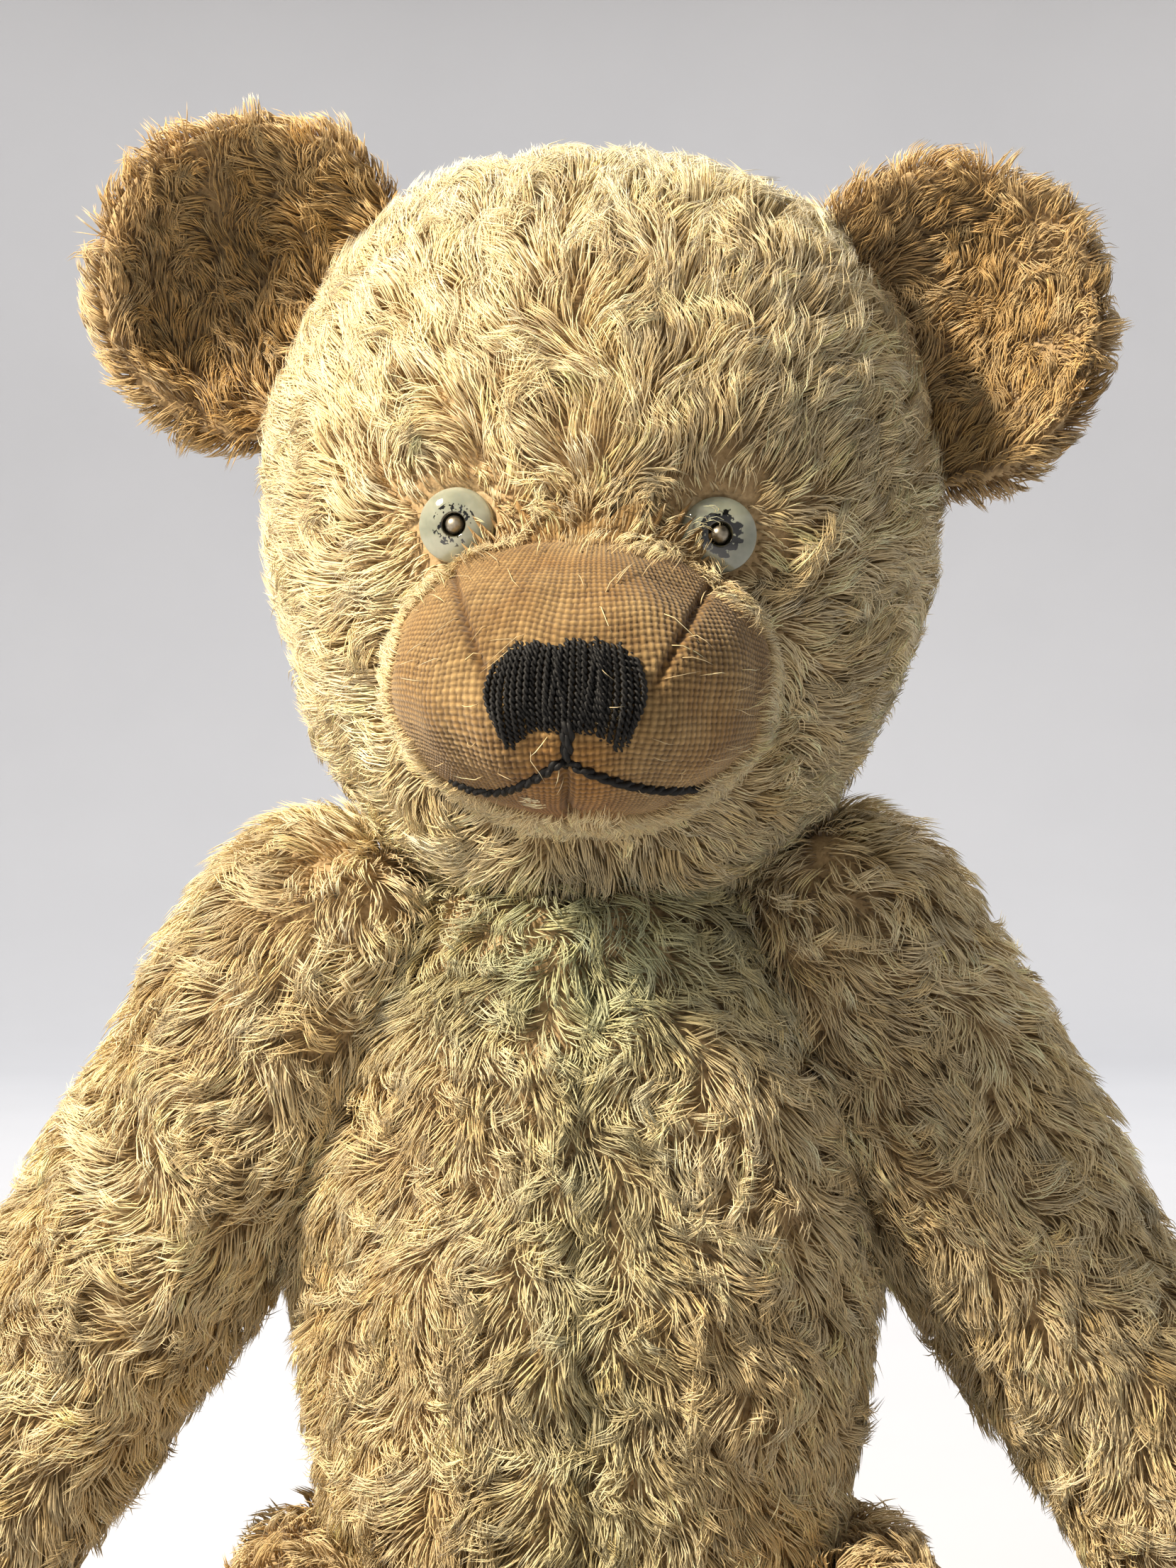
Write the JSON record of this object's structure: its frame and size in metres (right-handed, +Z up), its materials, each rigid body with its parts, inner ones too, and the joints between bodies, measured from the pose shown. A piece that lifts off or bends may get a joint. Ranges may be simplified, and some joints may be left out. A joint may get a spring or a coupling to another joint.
{
  "type": "jointed teddy bear",
  "caption": "Seated mohair teddy bear with disc-jointed head, arms and legs, glass eyes and a stitched nose and mouth.",
  "frame": {"origin": "centre of the flat seat under the torso", "axes": "+Z up through the neck joint, the bear faces -Y, its own left side is +X"},
  "size_m": [0.2298, 0.1617, 0.2571],
  "materials": {
    "mohair": "soft worn pile",
    "ear_mohair": "soft worn pile",
    "muzzle_cloth": "coarse plain weave",
    "pad_cloth": "worn felt",
    "black_floss": "twisted cotton",
    "linen_thread": "waxed",
    "wood_wool": "packed shavings",
    "opal_glass": "opaque polished",
    "pin_brass": "dull",
    "joint_steel": "dull",
    "hardboard": "pressed board"
  },
  "bodies": {
    "torso": {"torso_panel_left": "mohair", "torso_panel_right": "mohair", "torso_stuffing": "wood_wool", "back_stitches": "linen_thread", "torso_washers": "joint_steel", "neck_torso_disc": "hardboard", "neck_split_pin": "joint_steel", "shoulder_left_torso_disc": "hardboard", "shoulder_left_split_pin": "joint_steel", "shoulder_right_torso_disc": "hardboard", "shoulder_right_split_pin": "joint_steel", "hip_left_torso_disc": "hardboard", "hip_left_split_pin": "joint_steel", "hip_right_torso_disc": "hardboard", "hip_right_split_pin": "joint_steel"},
    "head": {"head_gusset": "mohair", "head_side_left": "mohair", "head_side_right": "mohair", "muzzle_bridge": "muzzle_cloth", "muzzle_left": "muzzle_cloth", "muzzle_right": "muzzle_cloth", "head_stuffing": "wood_wool", "ear_left_front": "ear_mohair", "ear_left_back": "ear_mohair", "ear_right_front": "ear_mohair", "ear_right_back": "ear_mohair", "eye_left": "opal_glass", "eye_right": "opal_glass", "eye_pin_left": "pin_brass", "eye_pin_right": "pin_brass", "nose_stitching": "black_floss", "mouth_stitching": "black_floss", "neck_limb_disc": "hardboard", "neck_limb_washer": "joint_steel"},
    "arm_left": {"arm_outer_left": "mohair", "arm_inner_left": "mohair", "arm_stuffing_left": "wood_wool", "paw_pad_left": "pad_cloth", "shoulder_left_limb_disc": "hardboard", "shoulder_left_limb_washer": "joint_steel"},
    "leg_left": {"leg_outer_left": "mohair", "leg_inner_left": "mohair", "leg_stuffing_left": "wood_wool", "foot_sole_left": "pad_cloth", "hip_left_limb_disc": "hardboard", "hip_left_limb_washer": "joint_steel"},
    "arm_right": {"arm_outer_right": "mohair", "arm_inner_right": "mohair", "arm_stuffing_right": "wood_wool", "paw_pad_right": "pad_cloth", "shoulder_right_limb_disc": "hardboard", "shoulder_right_limb_washer": "joint_steel"},
    "leg_right": {"leg_outer_right": "mohair", "leg_inner_right": "mohair", "leg_stuffing_right": "wood_wool", "foot_sole_right": "pad_cloth", "hip_right_limb_disc": "hardboard", "hip_right_limb_washer": "joint_steel"}
  },
  "joints": [
    {"name": "neck_turn", "type": "hinge", "parent": "torso", "child": "head", "pos_m": [0, 0, 0.138], "axis": [0, 0, 1], "continuous": true},
    {"name": "shoulder_left_swing", "type": "hinge", "parent": "torso", "child": "arm_left", "pos_m": [0.02749, 0, 0.12276], "axis": [-0.9272, 0, -0.3746], "range_deg": [-60, 90]},
    {"name": "shoulder_right_swing", "type": "hinge", "parent": "torso", "child": "arm_right", "pos_m": [-0.02749, 0, 0.12276], "axis": [-0.9272, 0, 0.3746], "range_deg": [-60, 90]},
    {"name": "hip_left_swing", "type": "hinge", "parent": "torso", "child": "leg_left", "pos_m": [0.03141, -0.002, 0.02204], "axis": [-0.9781, 0, 0.2079], "range_deg": [-100, 40]},
    {"name": "hip_right_swing", "type": "hinge", "parent": "torso", "child": "leg_right", "pos_m": [-0.03141, -0.002, 0.02204], "axis": [-0.9781, 0, -0.2079], "range_deg": [-100, 40]}
  ]
}
